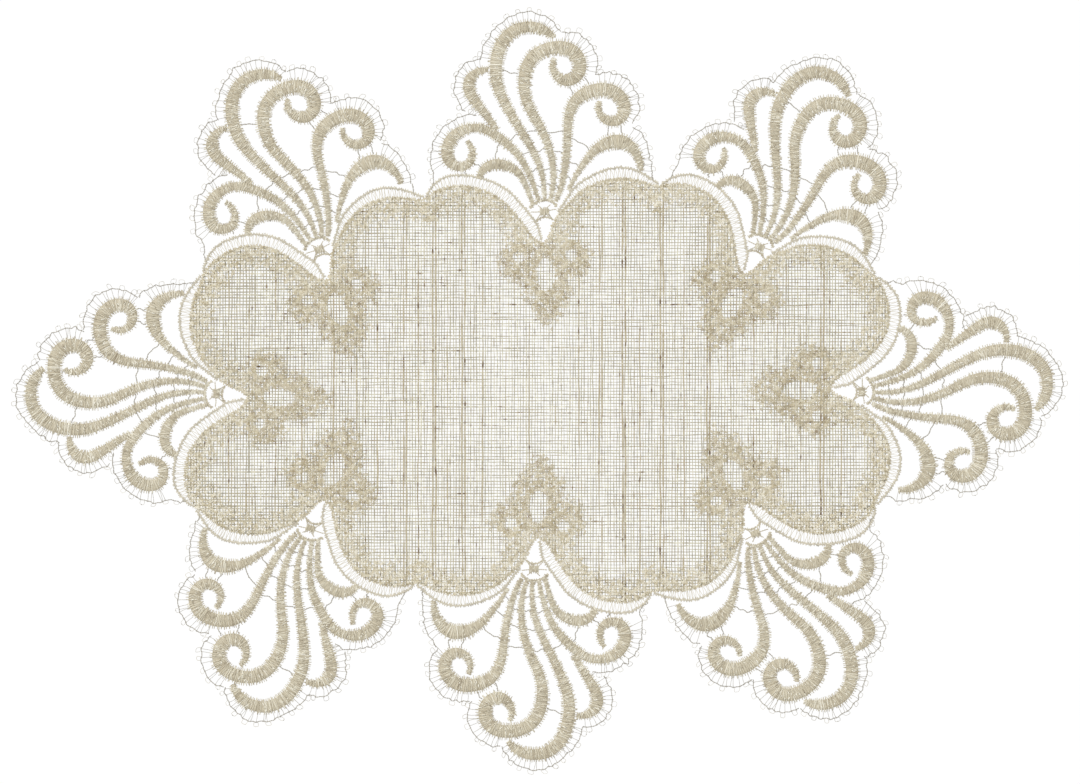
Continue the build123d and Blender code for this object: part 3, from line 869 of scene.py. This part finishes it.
def satin_edges(scrolls):
    """Both edges of every scroll, for threads to be tied to."""
    edges = []
    for line, widths in scrolls:
        left = frame_of(line)[1]
        edges.append(line + left * widths[:, None] / 2)
        edges.append(line - left * widths[:, None] / 2)
    return np.concatenate(edges)


def nearest(place, edge):
    """How far the edge is from a place, and the edge's point that is nearest to it."""
    gaps = np.linalg.norm(edge - place, axis=1)
    best = gaps.argmin()
    return gaps[best], edge[best]


def make_scrolls(fan, scrolls):
    """The padded satin scrolls."""
    threads = Threads()
    for line, widths in scrolls:
        satin(threads, line, widths + fluff, height=1.2, tone=0.63)
    fan_piece(fan, "satin", threads, "scrolls", "satin_thread", cell_shape=3)


def make_brides(fan, edge):
    """The kinked threads that tie neighbouring scrolls together."""
    kink_pitch = 1.3
    threads = Threads()
    for table in brides:
        points = on_runner(fan, table)
        tied = nearest(points[0], edge)[1], nearest(points[-1], edge)[1]
        if np.linalg.norm(tied[1] - tied[0]) > 0.6:
            points[0], points[-1] = tied
        bends = max(3, round(np.linalg.norm(points[-1] - points[0]) / kink_pitch))
        way = curve_through(points)
        bends = min(bends, len(way) - 1)
        place = np.linspace(0, len(way) - 1, bends + 1).round().astype(int)
        way = way[place] + left_of(frame_of(way[place])[0]) * rng.normal(0, 0.3, bends + 1)[:, None]
        way[0], way[-1] = points[0], points[-1]
        twisted(threads, curve_through(way), cord_twist, 0.14, net_tone, net_height)
        for bend in way[1:-1]:
            if rng.random() < 0.4:
                knot(threads, bend, 0.27, cord_tone, net_height + 0.02)
    fan_piece(fan, "bride_threads", threads, "brides", "net_thread", cell_shape=4)


def make_rosette(fan):
    """The square dot, the ring outside it, the arch inside it and the threads between them."""
    threads = Threads()
    half = rosette_side / 2 * satin_scale
    dot = respaced(on_runner(fan, [(-half, rosette_rise), (half, rosette_rise)]), point_step)
    dot_width = rosette_side * satin_scale * 0.85
    satin(threads, dot, dot_width, height=1.0, tone=0.62)
    ring = curve_through(on_runner(fan, np.asarray(rosette_ring_line) + (0, rosette_rise)))
    satin(threads, ring, rosette_ring, height=0.8, tone=0.58, teeth=0.25)
    arch = curve_through(on_runner(fan, rosette_arch))
    satin(threads, arch, rosette_ring - 0.3, height=0.7, tone=0.55, teeth=0.15)
    for table in rosette_threads:
        lifted = np.asarray(table, float) + [(0, rosette_rise), (0, 0)]
        twisted(threads, on_runner(fan, lifted), cord_twist, cord_thread, 0.45, net_height)
    fan_piece(fan, "rosette_stitches", threads, "rosette", "satin_thread", cell_shape=3)


def picot(threads, spine, left, travel, place):
    """One loop of fine thread on the outside of the edging, nearly square."""
    turn = np.linspace(-0.5 * math.pi, 1.5 * math.pi, 15)[1:-1]
    squareness = 0.6
    wide = rng.uniform(0.7, 1.05)
    deep = rng.uniform(0.6, 0.95)
    x = np.sign(np.cos(turn)) * abs(np.cos(turn))**squareness * wide
    y = (np.sign(np.sin(turn)) * abs(np.sin(turn))**squareness + 1) * deep
    lean = rng.normal(0, 0.25)
    plan = spine[place] + travel[place] * (x + lean * y)[:, None] + left[place] * y[:, None]
    low = 0.22
    threads.add(raised(plan, low), net_thread * rng.uniform(0.7, 1.0), 0.6 + rng.normal(0, 0.1))
    if rng.random() < 0.35:
        knot(threads, plan[len(plan) // 2], 0.2, knot_tone, low)


def make_edging(index, fan, edge):
    """Scallops of cord with knots, rungs to the scrolls and picots, and a tail to each ladder."""
    threads = Threads()
    for end, ladder in ((scallops[0][0], ladder_line_left), (scallops[-1][-1], ladder_line_right)):
        tied = on_runner(fan, end)
        spine = curve_through(on_wing(index, ladder))
        foot = nearest(tied, spine)[1]
        foot = foot + unit(spine[-1] - foot) * 1.6
        tail = curve_through(np.array([tied, (tied + foot) / 2 + rng.normal(0, 0.4, 2), foot]))
        twisted(threads, tail, cord_twist, cord_thread, net_tone, net_height)
        for share in (0.35, 0.7, 1.0):
            knot(threads, tail[round(share * (len(tail) - 1))], 0.3, 0.4, net_height)
    for table in scallops:
        spine = curve_through(on_runner(fan, table))
        travel, left = frame_of(spine)
        wave = drift(len(spine), 5, 0.26)
        spine = spine + left * wave[:, None]
        twisted(threads, spine, 0.1, cord_thread, cord_tone, net_height)
        rungs = max(2, round(len(spine) * point_step / rung_pitch))
        for i in range(rungs):
            share = (i + 0.5 + rng.normal(0, 0.15)) / rungs
            place = int(np.clip(share * len(spine), 0, len(spine) - 1))
            gap, end = nearest(spine[place], edge)
            if gap < rung_reach:
                end = end + unit(end - spine[place]) * 0.3
                single(threads, spine[place], end, net_thread, net_tone, rung_height)
                if rng.random() < 0.2 and place + 4 < len(spine):
                    single(threads, spine[place + 4], end, net_thread * 0.9, 0.45, 0.28)
            knot(threads, spine[place], rng.uniform(0.2, 0.32), knot_tone, net_height)
        count = max(1, round(len(spine) * point_step / picot_pitch))
        for i in range(count):
            share = (i + 0.5 + rng.normal(0, 0.08)) / count
            picot(threads, spine, left, travel, int(np.clip(share * len(spine), 0, len(spine) - 1)))
    fan_piece(fan, "net_edging", threads, "picot_edging", "net_thread", cell_shape=6)


def make_ladder(index, fan):
    """Openwork along the hem: a whipped outer cord and a zigzag of thread between the two."""
    cord_width = 1.0
    threads = Threads()
    for outer, inner in ((ladder_line_left, border_outer_left), (ladder_line_right, border_outer_right)):
        table = list(outer) + [(outer[-1][0] * 0.2 + inner[-1][0] * 0.8, inner[-1][1] + 0.9)]
        spine = curve_through(on_wing(index, table))
        hem = curve_through(on_wing(index, inner))
        satin(threads, spine, cord_width, height=0.6, tone=0.85, pitch=whipped_pitch, teeth=0.28,
              padded=False)
        twisted(threads, spine, 0.16, 0.24, 0.75, 0.25, lay=2.4)
        place = 0.0
        last = None
        outwards = True
        while place < len(spine) - 1:
            top = spine[int(place)]
            gap, foot = nearest(top, hem)
            end = top if outwards else foot - unit(top - foot) * 0.5
            if last is not None and gap > 0.9:
                radius = net_thread * rng.uniform(0.85, 1.2)
                single(threads, last, end, radius, 0.85, net_height, bow=0.2)
            last = end
            outwards = not outwards
            place += rng.uniform(1.8, 3.6)
    fan_piece(fan, "ladder_stitches", threads, "ladder", "net_thread", cell_shape=5)


def strewn(low, high, pitch):
    """Places strewn evenly but irregularly over a rectangle."""
    x, y = np.meshgrid(np.arange(low[0], high[0], pitch), np.arange(low[1], high[1], pitch))
    places = np.stack([x.ravel(), y.ravel()], axis=-1)
    return places + rng.uniform(-0.45, 0.45, places.shape) * pitch


def blotches(centres):
    """Paler and browner patches a few millimetres across."""
    x, y = centres[:, :1], centres[:, 1:]
    return 0.08 * np.sin(1.1 * x + 2 * np.sin(0.8 * y)) + 0.06 * np.sin(1.3 * y - 1.7 * np.sin(0.7 * x))


def without(centres, gaps, radius):
    """Leaves out the loops round the gaps, so that light shows through there."""
    offset = centres[:, None] - gaps[None]
    return centres[(np.hypot(offset[..., 0], offset[..., 1]) > radius).all(axis=1)]


def pierced(centres):
    """Leaves out the loops round scattered places."""
    places = strewn(centres.min(axis=0), centres.max(axis=0), pierced_pitch)
    return without(centres, places, pierced_radius)


def loop_places(polygon):
    """Places for loops over a polygon and a little way round it."""
    return strewn(polygon.min(axis=0) - halo, polygon.max(axis=0) + halo, loop_pitch)


def chosen(centres, chance, cloth):
    """The places that get a loop, each by its own chance, where there is cloth to stitch."""
    centres = centres[rng.random(len(centres)) < chance]
    return pierced(centres[inside(centres, cloth)])


def hem_holes(edge):
    """A row of needle holes beside an edge. Those on its far side miss the cloth and do nothing."""
    along = edge[::hem_hole_every]
    beside = frame_of(edge)[1][::hem_hole_every] * hem_hole_inset
    return np.concatenate([along + beside, along - beside])


def make_border(index, fan, cloth):
    """Loop stitches: solid along the hem, then thinning out into the open weave."""
    hem_width = 0.8
    hem_strip = 3.0  # this near the cut edge, no loop strays past the border
    fullest = 0.88  # the border's stitching where it is densest
    threads = Threads()
    for outer, inner, cusp in (
            (border_outer_left, border_inner_left, shared_cusp(index - 1)),
            (border_outer_right, border_inner_right, shared_cusp(index))):
        outer_edge = curve_through(on_wing(index, outer), outline_step)
        inner_line = np.concatenate([on_wing(index, inner), cusp[None]])
        inner_edge = curve_through(inner_line, outline_step)
        polygon = np.concatenate([outer_edge, inner_edge[::-1]])
        centres = loop_places(polygon)
        within = inside(centres, polygon)
        from_inner = distance_to(centres, inner_edge)
        chance = np.where(within, np.minimum(0.5 + 0.15 * from_inner, fullest),
                          0.6 * np.exp(-(from_inner / 2.1)**1.5) - 0.03)
        from_outer = distance_to(centres, outer_edge)
        chance = np.where(within | (from_outer > hem_strip), chance, 0)
        centres = chosen(centres, chance, cloth)
        centres = without(centres, hem_holes(outer_edge), hem_hole_radius)
        loops(threads, centres, 0.71 + blotches(centres))
        hem = curve_through(on_wing(index, outer))
        satin(threads, hem, hem_width, height=0.7, tone=0.62, pitch=whipped_pitch, teeth=0.3,
              padded=False)
    fan_piece(fan, "border_loops", threads, "border", "loop_thread", cell_shape=2)


def make_fleur(fan, cloth):
    """Loop stitches in a ring round each eyelet and in a drop, with loose ones about them."""
    threads = Threads()
    sides = [curve_through(on_runner(fan, side), outline_step) for side in fleur_outline]
    polygon = np.concatenate(sides + [on_runner(fan, [lobe_right, vee_tip, lobe_left])])
    centres = loop_places(polygon)
    from_rim = distance_to(centres, np.concatenate(sides))
    within = inside(centres, polygon)
    chance = np.where(within, 0.78, 0.5 * np.exp(-(from_rim / 1.8)**1.5) - 0.03)
    from_eyelet = distance_to(centres, on_runner(fan, eyelets))
    chance = np.where(from_eyelet < eyelet_ring_radius, 1.0, chance)
    offset = centres - on_runner(fan, fleur_opening_centre)
    angle = math.radians(fan[3])
    across = offset[:, 0] * math.cos(angle) + offset[:, 1] * math.sin(angle)
    along = -offset[:, 0] * math.sin(angle) + offset[:, 1] * math.cos(angle)
    half_width = fleur_opening_width / 2 * satin_scale
    half_length = fleur_opening_length / 2 * satin_scale
    around = np.hypot(across / (half_width + drop_band), along / (half_length + drop_band))
    chance = np.where(around < 1, 1.0, chance)
    chance = np.where(np.hypot(across / half_width, along / half_length) < 1.08, 0, chance)
    chance = np.where(from_eyelet < eyelet_radius + 0.4, 0, chance)
    centres = chosen(centres, chance, cloth)
    loops(threads, centres, 0.54 + blotches(centres))
    fan_piece(fan, "fleur_loops", threads, "fleur", "loop_thread", cell_shape=2)


def make_fan(index, fan, cloth):
    """All seven pieces of one fan."""
    scrolls = scroll_lines(fan)
    edge = satin_edges(scrolls)
    make_scrolls(fan, scrolls)
    make_brides(fan, edge)
    make_rosette(fan)
    make_edging(index, fan, edge)
    make_ladder(index, fan)
    make_border(index, fan, cloth)
    make_fleur(fan, cloth)


# ---- the studio, in metres ----
white = (1.0, 1.0, 1.0, 1.0)


def make_floor():
    """A pale floor that glows just enough to photograph white through the open work."""
    mesh = bpy.data.meshes.new("floor")
    reach = 4.0
    below = -0.00005
    corners = [(x * reach, y * reach, below) for x, y in ((-1, -1), (1, -1), (1, 1), (-1, 1))]
    mesh.from_pydata(corners, [], [(0, 1, 2, 3)])
    material = bpy.data.materials.new("floor_paint")
    material.use_nodes = True
    shader = material.node_tree.nodes["Principled BSDF"]
    set_inputs(shader, {"Base Color": (0.04, 0.04, 0.04, 1.0), "Roughness": 1.0,
                        "Specular IOR Level": 0.0, "Emission Color": white,
                        "Emission Strength": 0.97})
    mesh.materials.append(material)
    in_scene("floor", mesh)


def make_lights():
    """An even white surround, and one soft light from above for the relief of the stitches."""
    world = bpy.data.worlds.new("studio")
    world.use_nodes = True
    set_inputs(world.node_tree.nodes["Background"], {"Color": white, "Strength": 0.9})
    scene.world = world
    light = bpy.data.lights.new("softbox", "SUN")
    light.energy = 1.3
    light.angle = math.radians(35)
    softbox = in_scene("softbox", light)
    softbox.rotation_euler = (math.radians(-32), math.radians(-28), 0)


def make_camera():
    """The photograph's camera, straight above."""
    view_width = 0.3888
    distance = 2.0
    middle_x, middle_y = 0.00028, -0.00048
    lens = bpy.data.cameras.new("overhead")
    lens.sensor_width = 36.0
    lens.lens = lens.sensor_width * distance / view_width
    lens.clip_end = 20.0
    camera = in_scene("overhead", lens)
    camera.location = (middle_x, middle_y, distance)
    scene.camera = camera


make_camera()
make_lights()
make_floor()
cloth_outline = ground_outline()
make_cloth(cloth_outline)
for fan_index, fan_row in enumerate(fans):
    make_fan(fan_index, fan_row, cloth_outline)
scene.view_settings.view_transform = "Standard"
